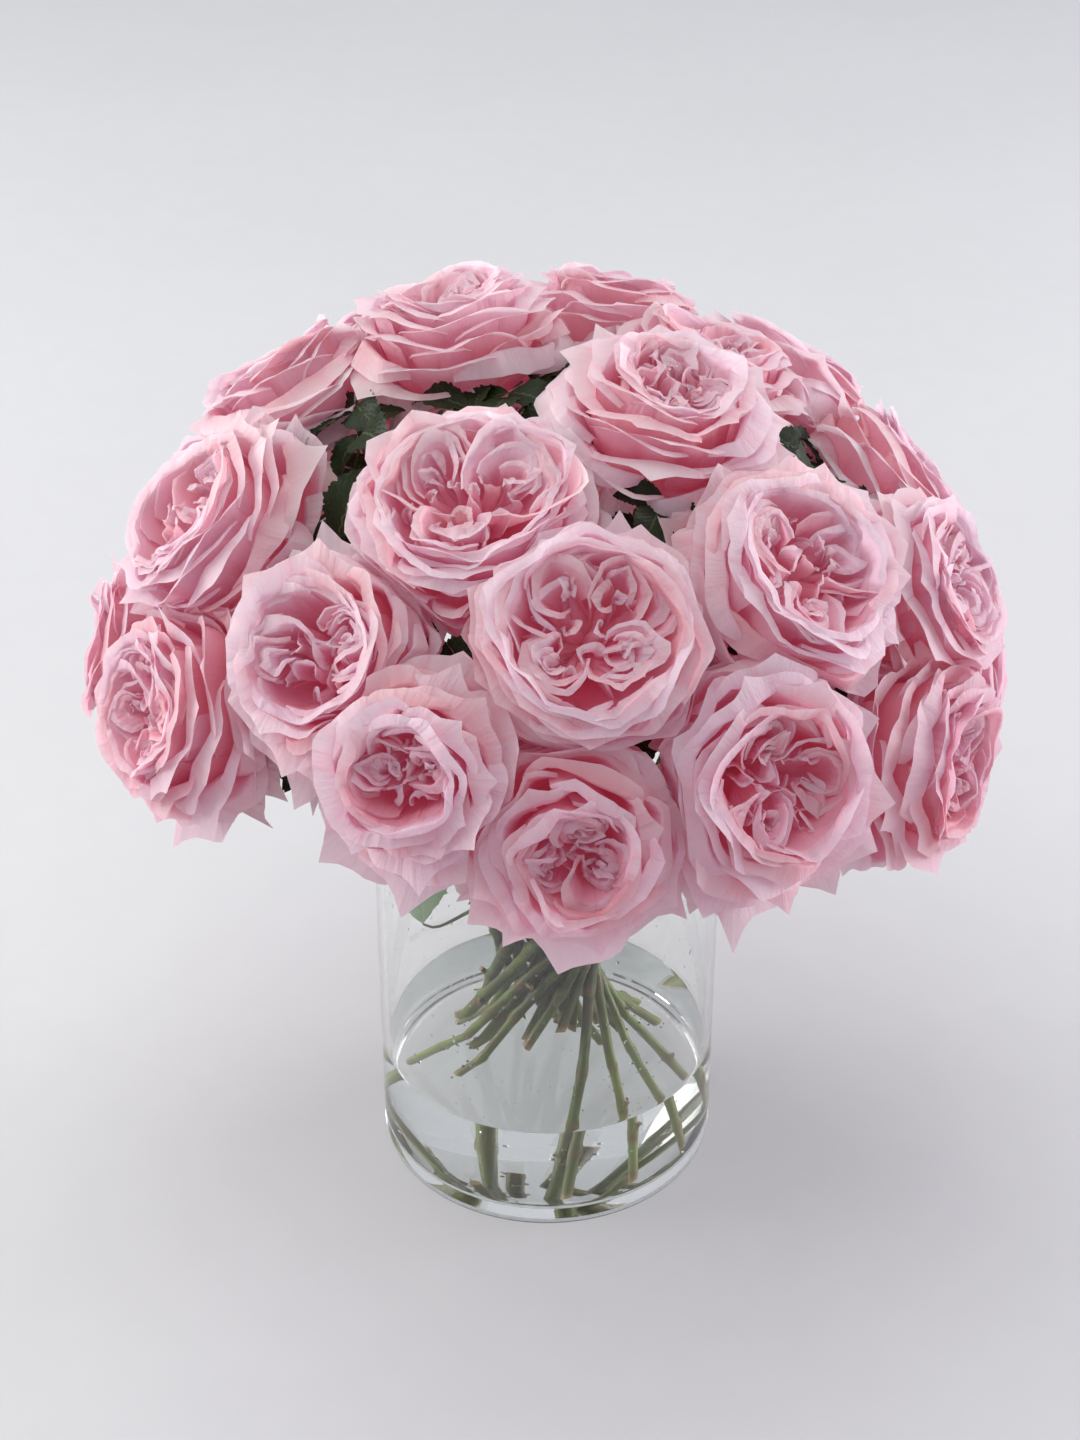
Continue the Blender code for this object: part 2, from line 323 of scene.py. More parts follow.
class Nodes:
    """Adds and joins the nodes of a material or of a node group."""

    def __init__(self, tree):
        self.tree = tree

    def put(self, socket, value):
        """Sets a socket to a value, or joins a node's output to it."""
        if isinstance(value, bpy.types.NodeSocket):
            self.tree.links.new(value, socket)
        else:
            socket.default_value = value

    def set(self, node, **inputs):
        """Fills a node's inputs by name, with _ for a space."""
        for key, value in inputs.items():
            self.put(node.inputs[key.replace("_", " ")], value)

    def add(self, kind, inputs=None, **settings):
        """A node with its settings and inputs."""
        node = self.tree.nodes.new("ShaderNode" + kind)
        for key, value in settings.items():
            setattr(node, key, value)
        for key, value in (inputs or {}).items():
            self.put(node.inputs[key], value)
        return node

    def group(self, name, **inputs):
        """The value of a node group."""
        return self.add("Group", inputs, node_tree=bpy.data.node_groups[name]).outputs[0]

    def math(self, operation, first, second=0.0, clamp=False):
        """One sum on numbers."""
        inputs = {0: first, 1: second}
        return self.add("Math", inputs, operation=operation, use_clamp=clamp).outputs[0]

    def times(self, first, second, clamp=False):
        """One number times another."""
        return self.math("MULTIPLY", first, second, clamp)

    def plus(self, first, second):
        """Two numbers added."""
        return self.math("ADD", first, second)

    def spread(self, value, low, high):
        """Stretches the values between low and high to 0 to 1."""
        inputs = {"Value": value, "From Min": low, "From Max": high}
        return self.add("MapRange", inputs, clamp=True).outputs["Result"]

    def mark(self, name):
        """A named value of the mesh."""
        return self.add("Attribute", attribute_name=name).outputs["Fac"]

    def flat(self):
        """How far across and how far along its sheet a point lies."""
        uv = self.add("UVMap", uv_map="flat").outputs["UV"]
        return self.add("SeparateXYZ", {0: uv}).outputs[:2]

    def noise(self, place, scale, detail):
        """Soft noise round one half."""
        inputs = {"Vector": place, "Scale": scale, "Detail": detail}
        return self.add("TexNoise", inputs).outputs["Fac"]

    def mottled(self, blotches, specks):
        """A point's place on the object, and the mottling there."""
        place = self.add("TexCoord").outputs["Object"]
        return place, self.group("mottling", Vector=place, Blotches=blotches, Specks=specks)

    def part_of(self, place, letter):
        """One coordinate of a place."""
        return self.add("SeparateXYZ", {0: place}).outputs[letter]

    def ramp(self, value, *stops):
        """A colour ramp from 0 to 1. Each stop is its place and its colour."""
        node = self.add("ValToRGB", {"Fac": value})
        elements = node.color_ramp.elements
        for place, _ in stops[1:-1]:
            elements.new(place)
        for element, (_, colour) in zip(elements, stops):
            element.color = (*colour, 1.0)
        return node.outputs["Color"]

    def mix(self, share, first, second):
        """A mix of two colours."""
        inputs = {"Factor": share, 6: first, 7: second}
        return self.add("Mix", inputs, data_type="RGBA", blend_type="MIX").outputs[2]

    def tinted(self, colour, *coats):
        """The colour with tints laid over it in turn, each as a share and a tint."""
        for share, tint in coats:
            colour = self.mix(share, colour, (*tint, 1.0))
        return colour

    def bump(self, height, strength, distance):
        """The surface's direction with fine relief."""
        inputs = {"Height": height, "Strength": strength, "Distance": distance}
        return self.add("Bump", inputs).outputs[0]


def new_group(name, output, **inputs):
    """A node group that puts out one number: its nodes, inputs and output. None is a vector."""
    tree = bpy.data.node_groups.new(name, "ShaderNodeTree")
    for socket, value in inputs.items():
        kind = "NodeSocketVector" if value is None else "NodeSocketFloat"
        made = tree.interface.new_socket(socket, in_out="INPUT", socket_type=kind)
        if value is not None:
            made.default_value = value
    tree.interface.new_socket(output, in_out="OUTPUT", socket_type="NodeSocketFloat")
    given = tree.nodes.new("NodeGroupInput").outputs
    return Nodes(tree), given, tree.nodes.new("NodeGroupOutput").inputs[output]


def make_mottling_group():
    """Soft blotches and fine specks, as on any living surface: a value round one half."""
    nodes, given, out = new_group("mottling", "Value", Vector=None, Blotches=90.0, Specks=900.0)
    blotches = nodes.noise(given["Vector"], given["Blotches"], 3.0)
    specks = nodes.noise(given["Vector"], given["Specks"], 2.0)
    nodes.put(out, nodes.plus(nodes.times(specks, 0.35), nodes.times(blotches, 0.65)))


def make_veins_group():
    """Fine veins along a petal or, with a slant, out from a leaf's middle rib."""
    nodes, given, out = new_group("fine_veins", "Height", Across=0.5, Along=0.5, Vector=None,
                                  Count=40.0, Slant=0.0, Waver=1.0)
    away = nodes.math("ABSOLUTE", nodes.math("SUBTRACT", given["Across"], 0.5))
    leaf_place = nodes.math("SUBTRACT", given["Along"], nodes.times(away, given["Slant"]))
    is_leaf = nodes.math("GREATER_THAN", given["Slant"], 0.01)
    is_petal = nodes.math("SUBTRACT", 1.0, is_leaf)
    chosen = nodes.plus(nodes.times(leaf_place, is_leaf), nodes.times(given["Across"], is_petal))
    drift = nodes.times(nodes.noise(given["Vector"], 120.0, 2.0), given["Waver"])
    wave = nodes.plus(nodes.times(chosen, given["Count"]), drift)
    crest = nodes.math("ABSOLUTE", nodes.math("SINE", wave))
    nodes.put(out, nodes.math("POWER", crest, 0.4))


def new_material(name):
    """An empty node material, its nodes, its Principled shader and its output."""
    material = bpy.data.materials.new(name)
    material.use_nodes = True
    material.node_tree.nodes.clear()
    nodes = Nodes(material.node_tree)
    shader = nodes.add("BsdfPrincipled")
    output = nodes.add("OutputMaterial", {"Surface": shader.outputs[0]})
    return material, nodes, shader, output


def blend_in(nodes, shader, output, share, other):
    """Mixes a share of another shader into a material."""
    both = nodes.add("MixShader", {0: share, 1: shader.outputs[0], 2: other.outputs[0]})
    nodes.set(output, Surface=both.outputs[0])


def petal_finish():
    """Petals: deep pink at the base, paler to the rim, cream at the guard petals' tips.

    Low in the bunch the petals are painted deeper and high up paler: painted shade below and
    painted light above.
    """
    material, nodes, shader, output = new_material("petal_pink")
    place, mottle = nodes.mottled(70.0, 700.0)
    rise = nodes.part_of(place, "Z")
    across, along = nodes.flat()
    layer, tone = nodes.mark("layer"), nodes.mark("tone")
    climb = nodes.plus(along, nodes.times(nodes.math("SUBTRACT", mottle, 0.5), 0.30))
    inner = nodes.ramp(climb, (0.0, (0.92, 0.23, 0.36)), (0.6, (0.89, 0.44, 0.58)),
                       (0.84, (0.87, 0.62, 0.73)), (1.0, (0.88, 0.77, 0.84)))
    outer = nodes.ramp(climb, (0.0, (0.91, 0.32, 0.42)), (0.6, (0.88, 0.52, 0.61)),
                       (0.84, (0.86, 0.68, 0.76)), (1.0, (0.90, 0.85, 0.89)))
    veins = nodes.group("fine_veins", Across=across, Along=along, Vector=place, Count=120.0,
                        Waver=5.0)
    petal_seed = nodes.plus(nodes.times(tone, 40.0), nodes.times(layer, 23.0))
    crease_place = nodes.add("CombineXYZ", {"X": nodes.times(across, 10.0),
                                            "Y": nodes.times(along, 2.5), "Z": petal_seed})
    crease = nodes.noise(crease_place.outputs[0], 1.0, 3.0)
    tip = nodes.times(nodes.spread(climb, 0.72, 1.05), nodes.spread(layer, 0.8, 1.0))
    colour = nodes.tinted(
        nodes.mix(nodes.spread(layer, 0.05, 0.75), inner, outer),
        (nodes.spread(tone, 0.4, -0.5), (0.92, 0.45, 0.44)),
        (nodes.spread(tone, 0.5, 1.4), (0.88, 0.78, 0.89)),
        (nodes.times(tip, 0.55), (0.90, 0.74, 0.60)),
        (nodes.times(nodes.spread(along, 0.93, 1.0), 0.6), (0.95, 0.86, 0.92)),
        # Painted shade: deeper pink low in the bunch. Painted light: paler high up.
        (nodes.times(nodes.spread(rise, 0.36, 0.27), 0.2), (0.78, 0.20, 0.34)),
        (nodes.times(nodes.spread(rise, 0.33, 0.41), 0.22), (0.97, 0.90, 0.90)),
        # Painted shade: deeper pink in the valleys of the crease relief.
        (nodes.times(nodes.spread(crease, 0.48, 0.30), 0.32), (0.90, 0.46, 0.53)))
    fine = nodes.plus(nodes.times(veins, 0.08), mottle)
    relief = nodes.bump(nodes.plus(fine, nodes.times(crease, 3.0)), 0.7, 0.001)
    # Painted glow: deep pink light given off low on each petal, fading at the rim.
    glow = nodes.ramp(climb, (0.0, (1.0, 0.20, 0.36)), (0.75, (0.90, 0.17, 0.31)),
                      (1.0, (0.30, 0.02, 0.07)))
    nodes.set(shader, Base_Color=colour, Roughness=0.5, Normal=relief, Specular_IOR_Level=0.35,
              Sheen_Weight=0.15, Sheen_Roughness=0.4, Emission_Color=glow,
              Emission_Strength=PETAL_GLOW)
    blend_in(nodes, shader, output, 0.5, nodes.add("BsdfTranslucent", {"Color": colour}))
    return material


def leaf_finish(name, dark, light, roughness):
    """Leaves: green with paler veins and a soft shine."""
    material, nodes, shader, output = new_material(name)
    place, mottle = nodes.mottled(60.0, 500.0)
    across, along = nodes.flat()
    veins = nodes.group("fine_veins", Across=across, Along=along, Vector=place, Count=26.0,
                        Slant=0.9, Waver=1.2)
    rib = nodes.spread(nodes.math("ABSOLUTE", nodes.math("SUBTRACT", across, 0.5)), 0.035, 0.0)
    side_vein = nodes.spread(veins, 0.45, 0.1)
    paler = nodes.math("MAXIMUM", nodes.times(side_vein, 0.35), nodes.times(rib, 0.7))
    vein_colour = [0.75 * a + 0.25 * b for a, b in zip(light, (0.45, 0.55, 0.28))]
    colour = nodes.mix(nodes.spread(mottle, 0.3, 0.7), (*dark, 1.0), (*light, 1.0))
    colour = nodes.tinted(colour, (paler, vein_colour))
    relief = nodes.bump(nodes.plus(veins, nodes.times(mottle, 0.4)), 0.35, 0.0005)
    nodes.set(shader, Base_Color=colour, Roughness=roughness, Normal=relief,
              Specular_IOR_Level=0.25)
    blend_in(nodes, shader, output, 0.2, nodes.add("BsdfTranslucent", {"Color": colour}))
    return material


def stem_finish():
    """Stems: dark olive, yellower under water, with painted shade about 0.1 m up, brown at the
    nodes, in patches and on the cut.
    """
    material, nodes, shader, _ = new_material("stem_green")
    place, mottle = nodes.mottled(90.0, 1100.0)
    height = nodes.spread(nodes.part_of(place, "Z"), 0.0, 0.3)
    # Painted shade over the stems' own greens: darkest about 0.1 m up, under the bunch.
    green = nodes.ramp(height, (0.0, (0.17, 0.20, 0.035)),
                       (0.19, (0.13, 0.165, 0.025)), (0.34, (0.03, 0.042, 0.007)),
                       (1.0, (0.06, 0.10, 0.02)))
    brown = nodes.times(nodes.mark("knot"), nodes.spread(mottle, 0.25, 0.5), True)
    colour = nodes.tinted(
        green,
        (nodes.spread(mottle, 0.50, 0.66), (0.16, 0.22, 0.04)),
        (nodes.mark("shade"), (0.012, 0.013, 0.005)),
        (nodes.times(nodes.spread(mottle, 0.47, 0.36), 0.7), (0.10, 0.045, 0.018)),
        (brown, (0.14, 0.06, 0.03)),
        (nodes.mark("cut"), (0.40, 0.30, 0.15)))
    nodes.set(shader, Base_Color=colour, Roughness=0.45, Normal=nodes.bump(mottle, 0.5, 0.0006),
              Specular_IOR_Level=0.3)
    return material


def clear_finish(name, colour, ior):
    """Clear glass or water, which lets light pass to what stands behind it."""
    material, nodes, shader, output = new_material(name)
    nodes.set(shader, Base_Color=(*colour, 1.0), Roughness=0.0, IOR=ior, Transmission_Weight=1.0)
    rays = nodes.add("LightPath").outputs
    passing = nodes.math("MAXIMUM", rays["Is Shadow Ray"], rays["Is Diffuse Ray"])
    bare = nodes.add("BsdfTransparent", {"Color": (*colour, 1.0)})
    blend_in(nodes, shader, output, passing, bare)
    return material


def floor_finish():
    """A plain, pale, matt surface."""
    material, nodes, shader, _ = new_material("pale_floor")
    mottle = nodes.mottled(3.0, 40.0)[1]
    colour = nodes.mix(nodes.spread(mottle, 0.3, 0.7), (0.56, 0.56, 0.58, 1.0),
                       (0.585, 0.585, 0.605, 1.0))
    nodes.set(shader, Base_Color=colour, Roughness=0.6)
    return material


# Petals and blooms

def draw_petal(
        shape, rng, columns, turn, half, foot, ridge, lean, rise, spread, curl, flap, layer, rows,
        drop, point, winding, straight, crumple, ruffle, base_width, fullness, belly=0.45,
        lip=0.35, shift=0.0, shift_turn=0.0, stretch=1.0, notch=0.0, shoulder=3.0, tilt=0.0):
    """One petal as a sheet: a wall up from the foot, a rolled ridge, and a pointed flap beyond it.

    Foot and ridge are distances out and up from the bloom's foot. Half is half the petal's width,
    lean and rise are the wall's angles from the axis at its two ends, and spread is the flap's,
    all in degrees, so over 90 the flap hangs. Drop is how much lower the ridge is at the petal's
    sides than at its middle, and tilt is how much of that one side has more than the other.
    Fullness 1 makes the flap a triangle, and 3 a tongue.
    """
    half, lean, rise, spread = (radians(angle) for angle in (half, lean, rise, spread))
    walls, arcs, flaps = rows
    u = np.linspace(-1, 1, columns)[None, :]
    side = np.abs(u)
    uneven = u + rng.normal(0, 0.12) * (1 - u * u)
    foot, ridge = np.array(foot, float), np.array(ridge, float)
    chord = norm(ridge - foot)
    second = foot + chord * belly * np.array([sin(lean), cos(lean)])
    third = ridge - chord * lip * np.array([sin(rise), cos(rise)])
    t = np.linspace(0, 1, walls)[:, None] ** 0.85
    s = 1 - t
    wall = [foot[k] * s**3 + 3 * second[k] * s * s * t + 3 * third[k] * s * t * t + ridge[k] * t**3
            for k in (0, 1)]
    sink = drop * side**1.05 + (tilt + rng.normal(0, 0.2)) * drop * u + shoulder * side**7
    hang = spread + radians(rng.uniform(10, 45)) * side**2
    waves, ripples = rng.uniform(2.5, 5.5, 2)
    first, other = rng.uniform(0, TAU, 2)
    bites = np.clip(np.sin(uneven * rng.uniform(4, 8) + first), 0, 1) ** 6
    length = flap * (0.10 + 0.90 * (1 - np.abs(uneven) ** fullness))
    length = length + point * np.clip(1 - side / 0.22, 0, 1) ** 1.4
    length = length * (1 - notch * bites) + 0.3
    rolled = rise + (hang - rise) * (np.arange(arcs) + 1)[:, None] / arcs
    rolled_out = ridge[0] + curl * (cos(rise) - np.cos(rolled))
    rolled_up = ridge[1] + curl * (np.sin(rolled) - sin(rise))
    reach = (np.arange(flaps) + 1)[:, None] / flaps * length
    wide = np.ones_like(u)
    out = np.vstack([wall[0] * wide, rolled_out, rolled_out[-1] + reach * np.sin(hang)])
    up = np.vstack([wall[1] * wide, rolled_up, rolled_up[-1] + reach * np.cos(hang)])
    past = np.vstack([t, np.ones((arcs + flaps, 1))])
    angles = np.vstack([lean + (rise - lean) * t * wide, rolled, hang * np.ones((flaps, 1))])
    out = out - sin(rise) * sink * past**2
    up = up - cos(rise) * sink * past**2
    high = 0.8 + 0.2 * (np.arange(arcs + flaps) + 1)[:, None] / (arcs + flaps)
    high = np.vstack([t * 0.8, high])
    wave = np.sin(waves * uneven + first + 1.2 * high) + 0.5 * np.sin(2.3 * waves * uneven + other)
    push = crumple * wave * ease(high) * high
    frill = ruffle * np.sin(ripples * 3.1 * uneven + first)
    push = push + frill * ease((high - 0.55) / 0.45) ** 1.5
    lift = 0.6 * crumple * np.sin(ripples * uneven + other) * ease(high)
    out = out + push * np.cos(np.minimum(angles, 1.4))
    up = up - push * np.sin(angles) * 0.6 + lift
    angle = u * half * (base_width + (1 - base_width) * ease(past / 0.62))
    out = out / np.cos(np.clip(angle, -straight, straight))
    out = out * (1 - 0.10 * np.clip(side - 0.6, 0, 1) * past)
    out = out + winding * u * ease(past * 1.5)
    x, y = swing(out * np.cos(angle) * stretch, out * np.sin(angle), turn)
    slide = ease(past * 1.15) * shift
    grid = np.stack([x + slide * cos(shift_turn), y + slide * sin(shift_turn), up], -1)
    shape.add_grid(grid, flat=((u + 1) / 2, high), layer=layer, tone=rng.uniform())


def swell(points, rng, amount, wave):
    """A smooth random drift of points, which keeps neighbouring petals apart."""
    drift = np.zeros_like(points)
    for _ in range(5):
        direction = unit(rng.normal(0, 1, 3)) * TAU / (wave * rng.uniform(0.7, 1.5))
        shift = unit(rng.normal(0, 1, 3))
        drift += shift * np.sin(points @ direction + rng.uniform(0, TAU))[:, None]
    return drift * amount / 2.2


# How a rose opens. cup: how deep its centre lies, in millimetres. core: share of its radius that
# the folded centre takes. openness, ruffle and points say how far the outer petals turn back, how
# wavy their rims are and how sharp their tips. knots: the folded bundles of the centre, each with
# its direction seen from outside (0 right, 90 top), distance, size and how far it is drawn out.
Habit = namedtuple("Habit", "cup core openness ruffle points knots", defaults=[()])

HABITS = {
    1: Habit(5.5, 0.46, 0.75, 0.5, 1.2),
    3: Habit(5, 0.42, 0.85, 0.5, 1.1,
             ((20, 0.5, 1.0, 1.4), (160, 0.5, 0.9, 1.3), (265, 0.5, 0.8, 1.2))),
    5: Habit(3.5, 0.50, 1.0, 0.9, 1.2),
    6: Habit(3.5, 0.50, 1.0, 0.8, 1.2),
    7: Habit(1.5, 0.60, 1.15, 1.1, 0.8,
             ((35, 0.5, 1.1, 1.5), (150, 0.5, 1.0, 1.4), (270, 0.45, 0.8, 1.1))),
    8: Habit(4, 0.56, 1.0, 0.7, 1.1,
             ((115, 0.5, 0.7, 1.2), (225, 0.5, 0.75, 1.2), (350, 0.5, 1.1, 1.5))),
    11: Habit(5.5, 0.50, 0.9, 0.4, 1.1, ((35, 0.45, 1.1, 1.3), (205, 0.5, 1.0, 1.1))),
    12: Habit(5.5, 0.60, 0.85, 0.4, 0.8,
              ((-140, 0.46, 0.66, 1.1), (-38, 0.46, 0.66, 1.1), (52, 0.5, 1.0, 1.5),
               (122, 0.5, 0.95, 1.5))),
    15: Habit(7, 0.42, 0.8, 0.3, 1.2, ((20, 0.4, 0.9, 1.3), (190, 0.5, 1.1, 1.3))),
    16: Habit(5.5, 0.38, 0.95, 0.4, 0.9,
              ((75, 0.5, 0.9, 1.2), (200, 0.5, 0.9, 1.1), (320, 0.5, 0.9, 1.2))),
    17: Habit(6, 0.50, 0.9, 0.3, 1.3,
              ((235, 0.5, 0.85, 1.4), (340, 0.5, 1.05, 1.5), (95, 0.45, 0.8, 1.2))),
}


def habit_of(number, rng):
    """The habit of a rose, made up for those that have none of their own."""
    made_up = Habit(rng.uniform(3, 6.5), rng.uniform(0.40, 0.55), rng.uniform(0.8, 1.1),
                    rng.uniform(0.3, 0.9), rng.uniform(0.9, 1.3))
    habit = HABITS.get(number, made_up)
    if habit.knots:
        return habit
    count, start = int(rng.integers(2, 5)), rng.uniform(0, 360)
    return habit._replace(knots=[(start + 360 * k / count + rng.normal(0, 14), 0.5,
                                  rng.uniform(0.85, 1.1), rng.uniform(1.05, 1.5))
                                 for k in range(count)])


def draw_knot(shape, rng, hand, core, cup, knot):
    """One folded bundle of the centre: petals nested like cups, open towards the eye."""
    direction, distance, size, drawn_out = knot
    turn = radians(direction)
    narrowest, widest = 1.6, core * 0.60 * size
    for k in range(KNOT_PETALS):
        share = k / (KNOT_PETALS - 1)
        radius = narrowest + (widest - narrowest) * share**0.9
        height = BLOOM_TOP - cup + rng.normal(0, 1.0) - 3.0 * (1 - share) ** 1.5
        draw_petal(
            shape, rng, 15, turn + rng.normal(0, 0.6), rng.uniform(70, 130), (1.0, 16.0),
            (radius, height), 20, rng.uniform(-6, 24), rng.uniform(50, 115), 0.7,
            rng.uniform(0.9, 3.2), 0.04 + 0.14 * share, rows=(6, 3, 2), drop=rng.uniform(2, 5),
            point=rng.uniform(0.5, 2.5), winding=1.4 * hand, crumple=0.9, ruffle=0.5,
            base_width=0.7, straight=0.1, shift=core * distance, shift_turn=turn,
            stretch=drawn_out * rng.uniform(0.92, 1.05), notch=rng.uniform(0, 0.4), fullness=2.0)


def draw_heart(shape, rng, hand, core, cup):
    """The crumpled petals low in the centre, which close its hollows."""
    for k in range(HEART_PETALS):
        turn = k * GOLDEN_TURN
        share = sqrt((k + 0.5) / HEART_PETALS)
        draw_petal(
            shape, rng, 15, turn + rng.uniform(2, 4), rng.uniform(85, 140), (1.0, 20.0),
            (rng.uniform(2.0, 4.2), BLOOM_TOP - cup - rng.uniform(3, 7)), 24,
            rng.uniform(-5, 20), rng.uniform(30, 90), 0.5, rng.uniform(0.5, 1.8),
            0.05 + 0.1 * share, rows=(5, 3, 1), drop=rng.uniform(1, 5), point=1.0,
            winding=1.2 * hand, crumple=1.0, ruffle=0.5, base_width=0.7, straight=0.2,
            shift=core * 0.85 * share, shift_turn=turn, fullness=2.2)


def draw_rounds(shape, rng, hand, radius, core, habit):
    """The spiral of petals round the centre, from upright ones to those that roll back and hang."""
    cup, _, openness, ruffle, points, _ = habit
    start = rng.uniform(0, TAU)
    for k in range(INNER_PETALS):
        early = k / (INNER_PETALS - 1)
        turn = start + k * GOLDEN_TURN * hand + rng.normal(0, 0.14)
        reach = core + 0.08 * (radius - core) * early
        height = BLOOM_TOP - 1.5 - cup * (1 - early) * 0.6 + rng.normal(0, 0.8)
        draw_petal(
            shape, rng, 17, turn, rng.uniform(54, 74), (2.0, 8.0), (reach, height), 35,
            rng.uniform(-4, 14), rng.uniform(45, 110), 0.6, rng.uniform(1.0, 3.6),
            0.16 + 0.2 * early, rows=(6, 3, 2), drop=rng.uniform(2, 4), point=0.8,
            winding=2.0 * hand, crumple=0.8, ruffle=ruffle * 0.7, base_width=0.6, straight=0.2,
            notch=0.3 * ruffle, tilt=0.25 * hand, fullness=2.2)
    start += INNER_PETALS * GOLDEN_TURN * hand
    for k in range(OUTER_PETALS):
        late = k / (OUTER_PETALS - 1)
        turn = start + k * GOLDEN_TURN * hand + rng.normal(0, 0.16)
        curl = 0.6 + 1.0 * late + rng.uniform(-0.1, 0.3)
        ridge_out = core + (radius - 3.5 - core) * (0.08 + 0.92 * late**0.9) + rng.normal(0, 0.6)
        ridge_up = BLOOM_TOP - 2.0 - 34 * late**1.4 * (0.75 + 0.25 * openness) + rng.normal(0, 0.9)
        rise = 8 + 52 * late**1.3 + rng.normal(0, 7)
        is_pointed = rng.uniform() < 0.7 and late > 0.12
        if is_pointed:
            spread = rng.uniform(68, 104)
            point, flap, fullness = 6.0, (3.5 + 7.5 * late**0.7) * rng.uniform(0.75, 1.15), 1.0
        else:
            spread = 72 + 75 * min(1, late * 1.7) + rng.uniform(-15, 15)
            point, flap, fullness = 1.2, (2.8 + 7.5 * late**0.7) * rng.uniform(0.8, 1.25), 2.4
        drop = rng.uniform(2, 4) + rng.uniform(2, 6) * late
        draw_petal(
            shape, rng, 17, turn, rng.uniform(44, 58) - 8 * late, (4.0, 3.0 - 2.2 * late),
            (ridge_out - curl, ridge_up), 50 + 26 * late, rise, spread, curl, flap * points,
            0.25 + 0.6 * late, rows=(6, 4, 3), belly=0.55, lip=0.33, drop=drop,
            point=point * points * (0.3 + late), winding=2.4 * hand, straight=0.5, crumple=0.55,
            ruffle=ruffle * (0.5 - 0.2 * late), base_width=0.48, notch=0.15 * ruffle,
            shoulder=2.5 + 3 * late, tilt=0.3 * hand, fullness=fullness)


def draw_guards(shape, rng, hand, radius, points):
    """The guard petals, which fold down under the rest and end in long points."""
    start = rng.uniform(0, TAU)
    for k in range(GUARD_PETALS):
        turn = start + TAU * k / GUARD_PETALS + rng.normal(0, 0.2)
        curl = rng.uniform(1.6, 3.0)
        ridge = (radius * rng.uniform(0.76, 0.93) - curl, rng.uniform(11, 21))
        draw_petal(
            shape, rng, 15, turn, rng.uniform(13, 27), (4.5, 0.6), ridge, 76,
            rng.uniform(50, 72), rng.uniform(92, 155), curl, rng.uniform(9, 17),
            rng.uniform(0.88, 1.0), rows=(6, 4, 4), belly=0.6, lip=0.4, drop=rng.uniform(6, 12),
            point=6.0 * points, winding=1.8 * hand, straight=0.5, crumple=1.3, ruffle=0.3,
            base_width=0.5, shoulder=6, fullness=0.95)


def press(points, rose, roses):
    """Presses the petals that would pass halfway to the next rose, as crowded blooms do."""
    for other in roses:
        apart = other.middle - rose.middle
        distance = norm(apart)
        if other is rose or distance > (rose.radius + other.radius) * MM + 0.03:
            continue
        normal = apart / distance
        middle = (rose.middle + other.middle) / 2
        side = 1 if rose.number < other.number else -1
        phase = rose.number * other.number
        wave = np.sin((points - middle) @ np.array((95.0, 120.0, 80.0)) + phase)
        past = (points - middle) @ normal - side * SEAM_WAVE * wave + SEAM_MARGIN
        past = np.clip(past, 0, None)
        kept = 1.25 * SEAM_MARGIN * (1 - np.exp(-past / SEAM_MARGIN / 1.25))
        points = points - np.outer(past - kept, normal)
    return points


def make_bloom(rose, roses, finish):
    """One whole bloom in place of its CAD solid."""
    rng = np.random.default_rng(1000 + rose.number)
    habit = habit_of(rose.number, rng)
    hand = 1 if rose.number % 3 else -1
    radius = rose.radius
    core = habit.core * radius
    shape = Shape()
    for knot in habit.knots:
        draw_knot(shape, rng, hand, core, habit.cup, knot)
    draw_heart(shape, rng, hand, core, habit.cup)
    draw_rounds(shape, rng, hand, radius, core, habit)
    draw_guards(shape, rng, hand, radius, habit.points)
    drawn = np.vstack(shape.points)
    away = np.hypot(drawn[:, 0], drawn[:, 1])
    drift = swell(drawn, rng, 2.8, 42)
    drift = drift + swell(drawn, rng, 1.8, 15) * ease(1 - (away - core) / (0.5 * core))[:, None]
    drawn = drawn + drift * ease(drawn[:, 2] / 25)[:, None]
    shape.points = [press(set_on(rose, drawn), rose, roses)]
    node = f"rose_bloom_{rose.name}"
    shape.build(f"petals_{rose.name}", [finish], slot="petal_pink", replaces=[node])


# Stems and sepals

def add_tube(shape, line, radii, sides, **marks):
    """A round tube along a line. Returns its last ring of points."""
    grid = rings_round(line, *carried_frames(line)[1:], np.repeat(radii[:, None], sides, axis=1))
    shape.add_grid(grid, closed=True, **marks)
    return grid[-1]


def add_thorn(shape, foot, outward, along, size):
    """A small hooked thorn with a long foot."""
    t = np.linspace(0, 1, 5)
    line = foot + np.outer(t, outward) * size - np.outer(t**2, along) * size * 0.45
    end = add_tube(shape, line, size * 0.42 * (1 - t) ** 1.2 + 0.00005, 7, knot=0.7, cut=0.0)
    shape.add_cap(end, line[-1] + (line[-1] - line[-2]) * 0.1, knot=1.0, cut=0.0)


def add_stub(shape, foot, outward, along, length, radius):
    """What is left of a side twig: a short cut stub with a brown end."""
    way = unit(outward + along * 0.9)
    t = np.linspace(0, 1, 5)
    line = foot + np.outer(t * length, way)
    brown = (0.2 + 0.8 * t**3)[:, None]
    end = add_tube(shape, line, radius * (1.15 - 0.25 * t), 9, knot=brown, cut=0.0)
    shape.add_cap(end, line[-1] + way * radius * 0.1, knot=1.0, cut=0.3)


